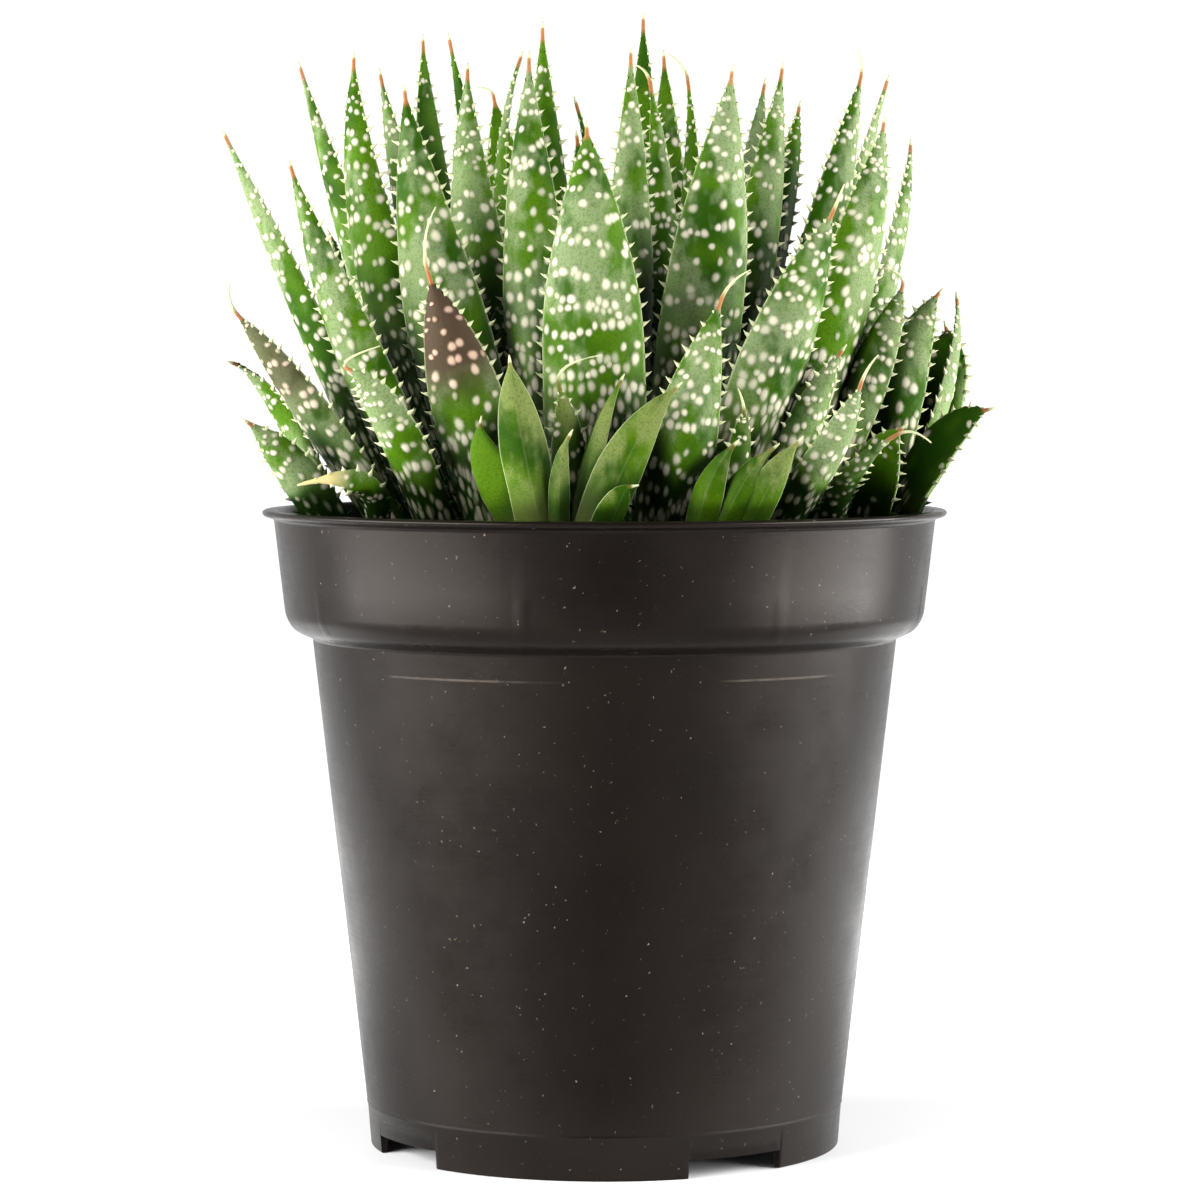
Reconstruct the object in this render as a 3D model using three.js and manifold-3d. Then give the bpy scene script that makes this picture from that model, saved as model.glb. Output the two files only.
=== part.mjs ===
// A spotted haworthia-like succulent in a black nursery pot, in millimetres, +Z up.
// The origin is on the table under the middle of the plant's box, which is the pot's axis.
// The front, where the small smooth offsets stand, looks along -Y.
import * as THREE from "three";
import { mergeVertices } from "three/addons/utils/BufferGeometryUtils.js";
import Module from "manifold-3d";

const wasm = await Module();
wasm.setup();

// Pot: the size of a common 12 cm nursery pot.
const POT = {
  height: 111.5,
  lipRadius: 60,
  lipHeight: 1.5,
  bandTopRadius: 57.9,
  bandBottomRadius: 55.9,
  bandBottomHeight: 92.6,
  shelfHeight: 89.4,
  bodyTopRadius: 51.2,
  footRadius: 41.2,
  wall: 1.2,
  floorHeight: 4.2,
  segments: 48,
};
const NOTCH = { count: 4, firstAzimuth: -57, width: 26, height: 3.2 };
const DRAIN = { count: 8, ringRadius: 25, radius: 4, firstAzimuth: 10 };

// Potting mix and the crown, the short stem that the leaves of the main rosette grow from.
const SOIL_HEIGHT = 99;
const CROWN = { radius: 34, rimHeight: 101, topHeight: 109, rootHeight: 84 };
const ROOT_DEPTH = 4; // of a main leaf's foot, measured from the crown's dome
const GAP = 0.3; // between pieces that touch

// Leaves
const TOOTH = { height: 1.2, base: 1.5, pitch: 8, firstShare: 0.24, lastShare: 0.93 };
const BRISTLE = { length: 1.6, radius: 0.36 };
const RING_PITCH = 14; // between the rings of corners along the blade
const LAST_RING = 0.985; // share of the length at which the bristle starts
const KEEL_SHARE = 0.27; // depth of the back, as a share of the width
const WIDEST_SHARE = 0.55; // of the length, measured from the tip, over which the blade tapers
const CLEARANCE = 0.35; // added all round a leaf to cut its neighbour

// Columns: foot [x, y], middle [x, y, z], tip [x, y, z], width, facing and, where the bristle bends, its end.
// The leaf's curve runs through the three points. Facing is where its keeled back looks, in degrees from +X.
const MAIN_LEAVES = [
  // front, from left to right
  [[-25, -21], [-34, -41, 125], [-42, -47, 136], 8.5, -115, [-37, -48, 140]],
  [[-15, -26], [-23, -38, 131], [-29, -41, 151], 13, -100, [-28, -42, 163]],
  [[-1, -25], [-2, -34, 143], [-3, -36, 176], 17.5, -90],
  [[8, -29], [13, -44, 125], [19, -44, 147], 11.5, -85, [24, -45, 152.5]],
  [[22, -26], [36, -42, 121], [42, -46, 133], 7, -65, [45, -47, 138.5]],
  [[16, -18], [29, -28, 139], [38, -34, 162], 13, -65, [40, -35, 167]],
  // left
  [[-30, -13], [-50, -20, 129], [-62, -25, 145], 9, -135, [-63.5, -26, 150.5]],
  [[-24, -11], [-41, -22, 137], [-53, -26, 170], 9.5, -115],
  [[-31, -1], [-50, -6, 142], [-65.5, -8, 176], 9, -145],
  [[-19, -1], [-38, 0, 150], [-44, 4, 190], 11, -115],
  [[-25, 9], [-41, 11, 148], [-54, 15, 189], 9.5, -140],
  [[-17, 8], [-31, 12, 150], [-40, 19, 188], 9, -125],
  [[-14, -15], [-27, -18, 144], [-34, -20, 183], 14.5, -100],
  // middle
  [[-10, 0], [-21, -2, 150], [-24, 3, 188], 10.5, -100],
  [[-6, -13], [-11.5, -15, 148], [-13, -12, 189], 12, -92],
  [[2, -12], [4, -13, 150], [4.5, -9, 190], 9, -88],
  [[11, -12], [17, -20, 149], [21.5, -24, 186], 14.5, -80],
  [[5, -3], [9.8, 1, 150], [8, 4, 186], 7, -85, [5, 5, 189.5]],
  [[-3, 5], [-9, 10, 153], [-11, 14, 196], 9.5, -95],
  [[-8, 11], [-18, 14, 156], [-15, 16, 191], 5, -150],
  [[3, 10], [1, 16, 150], [-5, 18, 183], 4.5, -60],
  [[8, 6], [14.5, 12, 152], [15, 20, 187], 6, -130, [11, 21, 192.5]],
  // right
  [[15, 0], [25, -1, 151], [31, 1, 188], 9.5, -75],
  [[17, 8], [29, 10, 155], [34.5, 13, 182], 7.5, -60],
  [[24, 3], [37, 5, 153], [45, 5, 187], 10, -55, [44.5, 5, 192]],
  [[25, 12], [40, 16, 152], [50.5, 20, 187], 8.5, -20],
  [[26, -8], [41, -10, 148], [48, -12, 178], 12, -60],
  [[32, 1], [48, 4, 146], [54, 8, 175], 8, -30],
  [[31, -7], [45, -9, 133], [51.5, -9, 150], 8, -110, [48, -10, 153.5]],
  // young leaves inside the rosette
  [[-1, -20], [-2.5, -26, 134], [-3, -28, 160], 12, -90],
  [[13, -7], [18, -13, 137], [21, -16, 163], 11, -75],
  [[-14, -8], [-22, -11, 137], [-29, -13, 163], 11, -110],
  [[-2, -5], [-3, -6, 132], [-3.5, -5, 158], 8, -95],
  [[26, -16], [33, -22, 124], [40, -27, 139], 9, -55],
  [[21, -8], [30, -12, 136], [36, -14, 158], 9, -60],
  // back, from left to right
  [[-28, 19], [-41, 27, 138], [-50, 34, 160], 9.5, 145],
  [[-20, 17], [-29, 25, 153], [-33, 33, 195], 10.5, 130],
  [[-22, 26], [-30, 40, 134], [-35, 50, 154], 10, 120],
  [[-12, 18], [-20, 26, 152], [-28, 30, 195], 7, 60],
  [[-12, 28], [-15.5, 42, 148], [-20.5, 51, 186], 15, 105, [-24, 52, 188]],
  [[-4, 19], [-3, 28, 146], [-5, 38, 178], 11, 95],
  [[-1, 31], [-2, 48, 134], [-4, 58, 157], 13, 92],
  [[7, 17], [7, 21, 155], [7, 27, 198.5], 9, 80],
  [[8, 27], [11, 37, 150], [11, 45, 193], 11, 78],
  [[18, 26], [24, 40, 143], [28, 50, 172], 12.5, 60],
  [[17, 17], [24, 24, 153], [29, 31, 187], 10, 45],
  [[27, 20], [38, 31, 146], [43, 40, 170], 10.5, 38],
  [[31, 10], [46, 17, 138], [53, 24, 160], 9, 20],
];

// The offsets are whole plantlets, each in a node of its own: a short stem with its leaves joined to it.
const OFFSETS = [
  {
    name: "offset_front_smooth",
    stem: [-6, -44],
    toothed: false,
    leaves: [
      [[-4, -45], [3, -49, 121], [11.5, -50, 133], 8, -75],
      [[-5, -44], [-2, -46, 121], [2.5, -46, 134], 6.5, -150],
      [[-3, -46], [1, -52, 113], [4, -54, 117], 6, -60],
      [[-9, -45], [-13.5, -50, 124], [-15.5, -53, 137], 8, -88],
      [[-9, -43], [-18, -46, 118], [-20.5, -48, 127], 8, 60],
      [[-7, -46], [-7.5, -50, 117], [-6, -52, 125], 3.5, -90],
      [[-6, -42], [-6, -44, 122], [-7.5, -47, 133], 6, -80, [-0.5, -49, 138.5]],
    ],
  },
  {
    name: "offset_front_right",
    stem: [18, -42],
    toothed: false,
    leaves: [
      [[14.5, -43], [17, -48, 115.5], [21, -50, 123.5], 5.5, -110],
      [[17, -43], [21.5, -48, 115], [27.5, -49, 123], 5.5, -95],
      [[20, -42], [26, -48, 115.5], [31.5, -50, 124], 6, -80],
      [[19, -41], [22, -42, 121], [23, -44, 129], 5, -60, [22, -45, 133]],
    ],
  },
  {
    name: "offset_right",
    stem: [45, -3],
    toothed: true,
    leaves: [
      [[46, -2], [52, 1, 133], [58.5, 2, 149], 9, -100],
      [[46, 1], [58, 11, 130], [61, 15, 143], 12, 75],
      [[48, -1], [59.5, 6, 130], [62.5, 10, 148], 6, -20],
      [[47, -5], [56.5, -8, 121], [66, -12, 129], 11, 25],
      [[44, -6], [46, -21, 118], [50, -29, 126], 9, 80],
      [[44, 1], [49, 12, 133], [52.5, 17, 147], 8, 100],
      [[42, -8], [39, -30, 114], [48, -41, 125], 6, -70, [54, -44, 124]],
    ],
  },
  {
    name: "offset_left",
    stem: [-42, -15],
    toothed: true,
    leaves: [
      [[-43, -13], [-55, -8, 127], [-64, -12, 137], 6.5, -150],
      [[-43, -16], [-52, -23, 118], [-60, -30, 127], 8, -110],
      [[-41, -18], [-39, -37, 115.5], [-49.5, -42.5, 117.3], 5.5, -110],
      [[-43, -12], [-49, -7, 114], [-57, -3, 118], 7, 170],
    ],
  },
  {
    name: "offset_back_left",
    stem: [-28, 36],
    toothed: true,
    leaves: [
      [[-29, 36], [-39, 43, 126], [-45, 50, 140], 8, 135],
      [[-27, 38], [-28, 48, 124], [-31, 58, 134], 8.5, 100],
      [[-30, 35], [-44, 36, 119], [-58, 33, 126.5], 7, 170],
      [[-26, 37], [-21, 47, 122], [-17, 57, 132], 7, 70],
    ],
  },
  {
    name: "offset_back_right",
    stem: [28, 36],
    toothed: true,
    leaves: [
      [[29, 36], [37, 43, 127], [42, 49, 141], 8.5, 45],
      [[27, 38], [28, 47, 123], [30, 59, 134], 9, 90],
      [[30, 35], [42, 35, 122], [54, 36, 132], 8, 0],
      [[26, 37], [19, 46, 122], [13, 57, 131], 7, 110],
    ],
  },
];
const OFFSET_STEM = { radius: 5, tipHeight: 108, rootHeight: 90 };

const MATERIALS = {
  pot: new THREE.MeshStandardMaterial({ color: 0x2b2725, roughness: 0.42, metalness: 0 }),
  soil: new THREE.MeshStandardMaterial({ color: 0x33261c, roughness: 0.95, metalness: 0 }),
  crown: new THREE.MeshStandardMaterial({ color: 0x9aa36a, roughness: 0.7, metalness: 0 }),
  leaf: new THREE.MeshStandardMaterial({ color: 0x4a7a3c, roughness: 0.45, metalness: 0 }),
  smoothLeaf: new THREE.MeshStandardMaterial({ color: 0x5b9a3a, roughness: 0.4, metalness: 0 }),
};

const plant = new THREE.Group();

function addPiece(name, solid, material) {
  const mesh = new THREE.Mesh(geometryOf(largestBody(solid)), material);
  mesh.name = name;
  plant.add(mesh);
}

// A closed three.js geometry as a manifold-3d solid.
function solidOf(geometry) {
  const bare = geometry.clone();
  bare.deleteAttribute("normal");
  bare.deleteAttribute("uv");
  const merged = mergeVertices(bare, 1e-4);
  return new wasm.Manifold(
    new wasm.Mesh({
      numProp: 3,
      vertProperties: merged.attributes.position.array,
      triVerts: new Uint32Array(merged.index.array),
    }),
  );
}

function geometryOf(solid) {
  const mesh = solid.getMesh();
  const position = new Float32Array(mesh.numVert * 3);
  for (let i = 0; i < mesh.numVert; i++) {
    const start = i * mesh.numProp;
    position.set(mesh.vertProperties.subarray(start, start + 3), i * 3);
  }
  const geometry = new THREE.BufferGeometry();
  geometry.setAttribute("position", new THREE.BufferAttribute(position, 3));
  geometry.setIndex(new THREE.BufferAttribute(new Uint32Array(mesh.triVerts), 1));
  geometry.computeVertexNormals();
  return geometry;
}

// The biggest of the bodies that a cut leaves; loose scraps are dropped.
function largestBody(solid) {
  const bodies = solid.decompose();
  return bodies.reduce((best, body) => (body.volume() > best.volume() ? body : best));
}

// A solid turned round the +Z axis from [radius, height] points listed from the bottom up.
function turned(points, segments) {
  const profile = points.map(([r, z]) => new THREE.Vector2(r, z));
  const geometry = new THREE.LatheGeometry(profile, segments);
  return solidOf(geometry.rotateX(Math.PI / 2));
}

function placedSolid(geometry, x, y, z, azimuth = 0) {
  const place = new THREE.Matrix4().makeRotationZ(THREE.MathUtils.degToRad(azimuth));
  place.setPosition(x, y, z);
  return solidOf(geometry.applyMatrix4(place));
}

// Pot
const innerAt = (radius) => radius - POT.wall;

function potSolid() {
  const p = POT;
  const lipFoot = p.height - p.lipHeight;
  let pot = turned(
    [
      [0, p.floorHeight],
      [innerAt(p.footRadius) - 3, p.floorHeight],
      [innerAt(p.footRadius), p.floorHeight - 1.5],
      [innerAt(p.footRadius) + 0.2, 0],
      [p.footRadius, 0],
      [p.footRadius + 0.4, 0.6],
      [p.bodyTopRadius, p.shelfHeight - 0.4],
      [p.bodyTopRadius + 0.5, p.shelfHeight],
      [p.bandBottomRadius - 1.6, p.shelfHeight + 1],
      [p.bandBottomRadius - 0.5, p.bandBottomHeight - 1.1],
      [p.bandBottomRadius, p.bandBottomHeight],
      [p.bandTopRadius, lipFoot - 0.1],
      [p.lipRadius - 0.4, lipFoot + 0.5],
      [p.lipRadius, lipFoot + 1],
      [p.lipRadius - 0.5, p.height],
      [innerAt(p.bandTopRadius) + 0.6, p.height],
      [innerAt(p.bandTopRadius), lipFoot - 0.6],
      [innerAt(p.bandBottomRadius), p.bandBottomHeight],
      [innerAt(p.bandBottomRadius) - 1.2, p.shelfHeight + 2],
      [innerAt(p.bodyTopRadius), p.shelfHeight + 1.2],
      [innerAt(p.footRadius) + 0.4, p.floorHeight + p.wall],
      [0, p.floorHeight + p.wall],
    ],
    p.segments,
  );
  for (let i = 0; i < NOTCH.count; i++) {
    const azimuth = NOTCH.firstAzimuth + (360 / NOTCH.count) * i;
    const reach = p.footRadius + 8;
    const width = 2 * reach * Math.sin(THREE.MathUtils.degToRad(NOTCH.width / 2));
    const box = new THREE.BoxGeometry(16, width * 0.84, NOTCH.height * 2);
    box.translate(p.footRadius, 0, 0);
    pot = pot.subtract(placedSolid(box, 0, 0, 0, azimuth));
  }
  for (let i = 0; i < DRAIN.count; i++) {
    const azimuth = DRAIN.firstAzimuth + (360 / DRAIN.count) * i;
    const hole = new THREE.CylinderGeometry(DRAIN.radius, DRAIN.radius, 8, 12).rotateX(Math.PI / 2);
    hole.translate(DRAIN.ringRadius, 0, 0);
    pot = pot.subtract(placedSolid(hole, 0, 0, p.floorHeight, azimuth));
  }
  return pot;
}

// Potting mix, GAP inside the pot's wall
function soilSolid() {
  const p = POT;
  const fit = (radius) => innerAt(radius) - GAP - 0.1;
  const bandShare = (SOIL_HEIGHT - p.bandBottomHeight) / (p.height - p.lipHeight - p.bandBottomHeight);
  const topRadius = fit(p.bandBottomRadius) + bandShare * (p.bandTopRadius - p.bandBottomRadius);
  return turned(
    [
      [0, p.floorHeight + p.wall + GAP],
      [fit(p.footRadius) + 0.3, p.floorHeight + p.wall + GAP],
      [fit(p.bodyTopRadius), p.shelfHeight + 1.2 + GAP],
      [fit(p.bandBottomRadius) - 1.4, p.shelfHeight + 2 + 2 * GAP],
      [fit(p.bandBottomRadius) - 0.1, p.bandBottomHeight + GAP],
      [topRadius, SOIL_HEIGHT - 0.8],
      [topRadius - 3, SOIL_HEIGHT],
      [CROWN.radius, SOIL_HEIGHT + 0.6],
      [0, SOIL_HEIGHT + 1],
    ],
    36,
  );
}

// Crown: a low dome with its root end buried. grow adds the same amount all round.
function crownSolid(grow = 0) {
  const c = CROWN;
  return turned(
    [
      [0, c.rootHeight - grow],
      [0.45 * c.radius + grow, c.rootHeight - grow],
      [0.88 * c.radius + grow, SOIL_HEIGHT - 4 - grow / 2],
      [c.radius + grow, c.rimHeight],
      [0.8 * c.radius + grow * 0.7, c.rimHeight + 3 + grow * 0.7],
      [0.42 * c.radius + grow * 0.3, c.topHeight - 1 + grow],
      [0, c.topHeight + grow],
    ],
    32,
  );
}

// Height at which a leaf's curve starts: ROOT_DEPTH under a dome close to the crown's upper surface.
function rootHeightAt(x, y) {
  const share = Math.min(1, Math.hypot(x, y) / CROWN.radius);
  const dome = CROWN.rimHeight + (CROWN.topHeight - CROWN.rimHeight) * (1 - share * share);
  return dome - ROOT_DEPTH;
}

// Evenly spaced numbers, both ends included
function evenly(from, to, count) {
  return Array.from({ length: count + 1 }, (_, i) => from + ((to - from) * i) / count);
}

// A leaf's half-width share at u, the share of its length from the tip
function bladeShare(u) {
  if (u < WIDEST_SHARE) return 1 - (1 - u / WIDEST_SHARE) ** 1.6;
  return 1 - 0.14 * ((u - WIDEST_SHARE) / (1 - WIDEST_SHARE)) ** 2;
}

// One leaf as a closed solid. Six lines run from foot to tip: two margins, which carry the teeth,
// the middle of the upper face, and the keel of the back with a shoulder each side.
// The tip ends in a bristle, which runs straight on or bends to a point of its own.
function leafSolid({ foot, middle, tip, width, facing, bristleEnd, toothed, grow = 0 }) {
  const start = new THREE.Vector3(...foot);
  const end = new THREE.Vector3(...tip);
  const control = new THREE.Vector3(...middle).multiplyScalar(2);
  control.addScaledVector(start, -0.5).addScaledVector(end, -0.5);
  const curve = new THREE.QuadraticBezierCurve3(start, control, end);
  const length = curve.getLength();
  const angle = THREE.MathUtils.degToRad(facing);
  const backWay = new THREE.Vector3(Math.cos(angle), Math.sin(angle), 0);

  const points = [];
  const addPoint = (s, across, back, centre = curve.getPoint(s)) => {
    const tangent = curve.getTangent(Math.min(s, 1));
    const side = new THREE.Vector3().crossVectors(tangent, backWay).normalize();
    const keel = new THREE.Vector3().crossVectors(side, tangent);
    const point = centre.clone().addScaledVector(side, across).addScaledVector(keel, back);
    points.push(point.x, point.y, point.z);
    return { s, index: points.length / 3 - 1 };
  };

  const halfWidth = (s) => Math.max((width / 2) * bladeShare(1 - s), BRISTLE.radius) + grow;
  const keelDepth = (s) => Math.max(KEEL_SHARE * width * bladeShare(0.9 * (1 - s)), BRISTLE.radius) + grow;
  const upperRise = (s) => 0.16 * keelDepth(s) + 0.25 + grow;

  const lines = { left: [], upper: [], right: [], backRight: [], keel: [], backLeft: [] };
  for (const s of evenly(0, LAST_RING, Math.max(3, Math.round(length / RING_PITCH)))) {
    lines.upper.push(addPoint(s, 0, -upperRise(s)));
    lines.backRight.push(addPoint(s, 0.58 * halfWidth(s), 0.72 * keelDepth(s)));
    lines.keel.push(addPoint(s, 0, keelDepth(s)));
    lines.backLeft.push(addPoint(s, -0.58 * halfWidth(s), 0.72 * keelDepth(s)));
  }
  const { firstShare, lastShare } = TOOTH;
  const teeth = Math.max(2, Math.round((length * (lastShare - firstShare)) / TOOTH.pitch));
  for (const [line, sign] of [[lines.left, -1], [lines.right, 1]]) {
    const addMargin = (s, out = 0) => line.push(addPoint(s, sign * (halfWidth(s) + out), 0));
    addMargin(0);
    if (toothed) {
      for (const s of evenly(firstShare, lastShare, teeth)) {
        const near = TOOTH.base / 2 / length;
        addMargin(s - near);
        addMargin(s + near * 0.6, Math.min(TOOTH.height, halfWidth(s) * 0.7));
        addMargin(s + near);
      }
    } else {
      for (const s of evenly(0.3, 0.9, 4)) addMargin(s);
    }
    addMargin(LAST_RING);
  }
  const onward = curve.getTangent(1);
  const bristleTip = end.clone().addScaledVector(onward, BRISTLE.length);
  if (bristleEnd) {
    bristleTip.fromArray(bristleEnd);
    const reach = bristleTip.distanceTo(end);
    const bend = end.clone().addScaledVector(onward, 0.4 * reach).lerp(bristleTip, 0.25);
    const r = 0.9 * BRISTLE.radius + grow;
    const around = [[-r, 0], [0, -r], [r, 0], [0.7 * r, 0.7 * r], [0, r], [-0.7 * r, 0.7 * r]];
    Object.values(lines).forEach((line, i) => line.push(addPoint(1.5, ...around[i], bend)));
  }
  bristleTip.addScaledVector(onward, grow);
  points.push(bristleTip.x, bristleTip.y, bristleTip.z);
  const apex = { s: 2, index: points.length / 3 - 1 };

  const ring = Object.values(lines);
  const triangles = [];
  for (const line of ring) line.push(apex);
  ring.forEach((line, i) => stitch(line, ring[(i + 1) % ring.length], triangles));
  for (let i = 1; i < ring.length - 1; i++) {
    triangles.push(ring[0][0].index, ring[i][0].index, ring[i + 1][0].index);
  }
  return solidFrom(points, triangles);
}

// A solid from corner coordinates and triangles, whichever way round they are all listed.
function solidFrom(points, triangles) {
  const vertProperties = new Float32Array(points);
  const make = (triVerts) => new wasm.Manifold(new wasm.Mesh({ numProp: 3, vertProperties, triVerts }));
  const solid = make(new Uint32Array(triangles));
  return solid.volume() < 0 ? make(new Uint32Array(triangles.toReversed())) : solid;
}

// Fills the strip between two lines of points that may be spaced differently.
function stitch(first, second, triangles) {
  let i = 0;
  let j = 0;
  while (i < first.length - 1 || j < second.length - 1) {
    const nextFirst = i < first.length - 1 ? first[i + 1].s : Infinity;
    const nextSecond = j < second.length - 1 ? second[j + 1].s : Infinity;
    const corner = nextFirst <= nextSecond ? first[i + 1] : second[j + 1];
    const made = [first[i].index, corner.index, second[j].index];
    if (new Set(made).size === 3) triangles.push(...made);
    if (nextFirst <= nextSecond) i++;
    else j++;
  }
}

const leafFrom = ([foot, middle, tip, width, facing, bristleEnd], footHeight, toothed) => ({
  foot: [...foot, footHeight],
  middle,
  tip,
  width,
  facing,
  bristleEnd,
  toothed,
});

addPiece("pot", potSolid(), MATERIALS.pot);

const crown = crownSolid();
const crownRoom = crownSolid(GAP);
let soil = soilSolid().subtract(crownRoom);
// What no leaf reaches into: the crown, and the potting mix with a flat top.
const groundTop = SOIL_HEIGHT + 1 + GAP;
const ground = turned([[0, 80], [POT.bodyTopRadius, 80], [POT.bodyTopRadius, groundTop], [0, groundTop]], 24);
const leafStop = crownRoom.add(ground);

// Each main leaf is cut clear of the crown and of the leaves before it.
const leafRooms = [];
const clearOfLeaves = (solid) => leafRooms.reduce((left, room) => left.subtract(room), solid);
MAIN_LEAVES.forEach((row, i) => {
  const name = `main_leaf_${String(i + 1).padStart(2, "0")}`;
  const leaf = leafFrom(row, rootHeightAt(...row[0]), true);
  addPiece(name, clearOfLeaves(leafSolid(leaf).subtract(leafStop)), MATERIALS.leaf);
  leafRooms.push(leafSolid({ ...leaf, grow: CLEARANCE }));
});

for (const { name, stem, toothed, leaves } of OFFSETS) {
  const s = OFFSET_STEM;
  const stemSolid = (grow) =>
    turned(
      [
        [0, s.rootHeight - grow],
        [s.radius * 0.6 + grow, s.rootHeight - grow],
        [s.radius + grow, SOIL_HEIGHT],
        [s.radius * 0.7 + grow, s.tipHeight - 3],
        [0, s.tipHeight + grow],
      ],
      10,
    ).translate([...stem, 0]);
  const leafSolids = leaves.map((row) => leafSolid(leafFrom(row, SOIL_HEIGHT + 3, toothed)));
  const above = leafSolids.reduce((all, leaf) => all.add(leaf)).subtract(ground);
  const solid = clearOfLeaves(above.add(stemSolid(0))).subtract(crownRoom);
  addPiece(name, solid, toothed ? MATERIALS.leaf : MATERIALS.smoothLeaf);
  soil = soil.subtract(stemSolid(GAP));
}

addPiece("crown", crown, MATERIALS.crown);
addPiece("soil", soil, MATERIALS.soil);

export default plant;
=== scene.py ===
"""Looks for the potted haworthia: leaves with teeth, spots and bristles, pot, potting mix and studio."""

import math

import bpy
import numpy as np
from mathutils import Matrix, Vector, noise
from mathutils.bvhtree import BVHTree


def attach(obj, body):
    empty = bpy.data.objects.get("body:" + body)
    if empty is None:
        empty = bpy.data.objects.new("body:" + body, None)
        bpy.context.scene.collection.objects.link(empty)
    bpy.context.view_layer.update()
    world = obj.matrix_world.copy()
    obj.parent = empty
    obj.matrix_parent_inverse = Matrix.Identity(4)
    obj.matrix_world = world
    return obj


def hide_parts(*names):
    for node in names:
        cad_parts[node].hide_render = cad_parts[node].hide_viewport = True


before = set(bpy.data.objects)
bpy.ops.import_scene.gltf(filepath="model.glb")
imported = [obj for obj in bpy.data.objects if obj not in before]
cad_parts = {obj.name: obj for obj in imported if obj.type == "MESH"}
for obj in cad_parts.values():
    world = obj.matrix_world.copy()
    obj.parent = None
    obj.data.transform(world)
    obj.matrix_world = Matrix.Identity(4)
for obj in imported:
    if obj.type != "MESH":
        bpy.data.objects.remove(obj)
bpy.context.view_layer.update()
MM = 0.001
rng = np.random.default_rng(11)

# The room is white, with a dark patch behind the camera. Light and dark are brightness. The middle of
# the patch lies turn degrees to the right of the front, and it fades from inner to outer degrees from
# there. Between the upward shares wall_top and high of a direction, the room darkens to ceiling.
ROOM = {
    "light": 1.08,
    "dark": 0.035,
    "turn": 2.0,
    "inner": 14.0,
    "outer": 29.0,
    "wall_top": 0.17,
    "high": 0.5,
    "ceiling": 0.14,
}
# In metres. The floor glows more from one distance to the other, so that its edge is lost in the white.
FLOOR_DISC = {"radius": 0.26, "back": 0.19, "glow_from": 0.1, "glow_to": 0.2}
FLOOR_WHITE = 0.86
# Degrees to the right of the front, width, bottom and top in metres, and radiance of the soft lights
SOFTBOXES = {
    "left_softbox": (-66, 0.62, -0.02, 0.36, 15.5),
    "right_softbox": (80, 0.55, -0.02, 0.36, 15.5),
}
SOFTBOX_DISTANCE = 0.5

# Camera, fitted to the photograph
CAMERA_AT = (-0.8, -787.0, 139.6)
CAMERA_PITCH = 3.21
CAMERA_LENS = 134.6

# Pot, in millimetres; places round it (first) and the notches' width in degrees
POT_HEIGHT = 111.5
LIP_RADIUS = 60.0
FOOT_RADIUS = 41.2
BODY_TOP_RADIUS = 51.2
BAND_FOOT_RADIUS = 55.9
BAND_TOP_RADIUS = 57.9
BAND_FOOT = 92.6
BAND_TOP = POT_HEIGHT - 1.6
WALL = 1.2
FLOOR = 4.2
SHELF = 89.4
NOTCHES = {"count": 4, "first": -57.0, "width": 26.0, "height": 3.2, "inner": 34, "outer": 48}
DRAINS = {"count": 8, "first": 10.0, "ring": 25.0, "radius": 4.0}
RIBS = {"count": 8, "first": -104.0, "low": 89.5, "high": 98.5, "rise": 0.14, "half": 0.6}
POT_SEGMENTS = 360
# Height of a painted highlight line round the pot's body
PAINTED_GLINT_HEIGHT = 84.6

# Potting mix, crown and the plantlets' stems, in millimetres
SOIL = 99.0
SOIL_RADIUS = 54.9
SOIL_RINGS = 40
SOIL_SEGMENTS = 120
SOIL_BITS = 3600
BITS_RADIUS = 54.2
CROWN = {"radius": 34.0, "rim": 101.0, "top": 109.0, "root": 84.0}
STEM = {"radius": 5.0, "tip": 108.0, "root": 90.0}

# Leaf form
WIDEST_SHARE = 0.55  # of the length, measured from the tip, over which the blade tapers
KEEL_SHARE = 0.27  # depth of the back, as a share of the width
LAST_RING = 0.985  # share of the length at which the bristle starts
BRISTLE_RADIUS = 0.36
BRISTLE_LENGTH = 1.6
# Measures in millimetres, first and last as shares of the leaf's length
TOOTH = {"height": 1.2, "base": 1.2, "pitch": 2.7, "first": 0.13, "last": 0.955}
TOOTH_CORNERS = 6
# How far out, how big and how far towards the tip each ring of a tooth's corners is, as shares
TOOTH_RINGS = ((-0.3, 1.0, 0.0), (0.2, 0.62, 0.02), (0.62, 0.28, 0.1))
# Radius as a share, height over the leaf in millimetres and brightness of a spot's rings of corners
SPOT_SHAPE = ((1.22, -0.05, 0.0), (0.86, 0.05, 0.38), (0.46, 0.12, 0.86))
SPOT_RISE = 0.16
SPOT_CORNERS = 10
# Spots stand in cross rows, pitch millimetres apart, chain_share of which are chains. Below the share
# low_from of the length, and over the share low_over, they become small and long and their rows closer.
SPOT_ROWS = {"pitch": 3.3, "closer": 1.6, "low_from": 0.42, "low_over": 0.28, "chain_share": 0.7}
# Share of the leaf's half width that has spots
SPOT_REACH = 0.94
# Measuring shade: rays from each point, their reach in millimetres, and the rows and columns of points
LIGHT_RAYS = 26
LIGHT_REACH = 60.0
LIGHT_ROWS = 15
LIGHT_COLUMNS = 5
INNER_SHADE = 0.82  # how much of the measured shade counts on a leaf's upper side
# Faces across the back and the upper side of a blade, and the distance of its rings in millimetres
BACK_STEPS = 14
UPPER_STEPS = 8
RING_PITCH = 1.7

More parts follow.
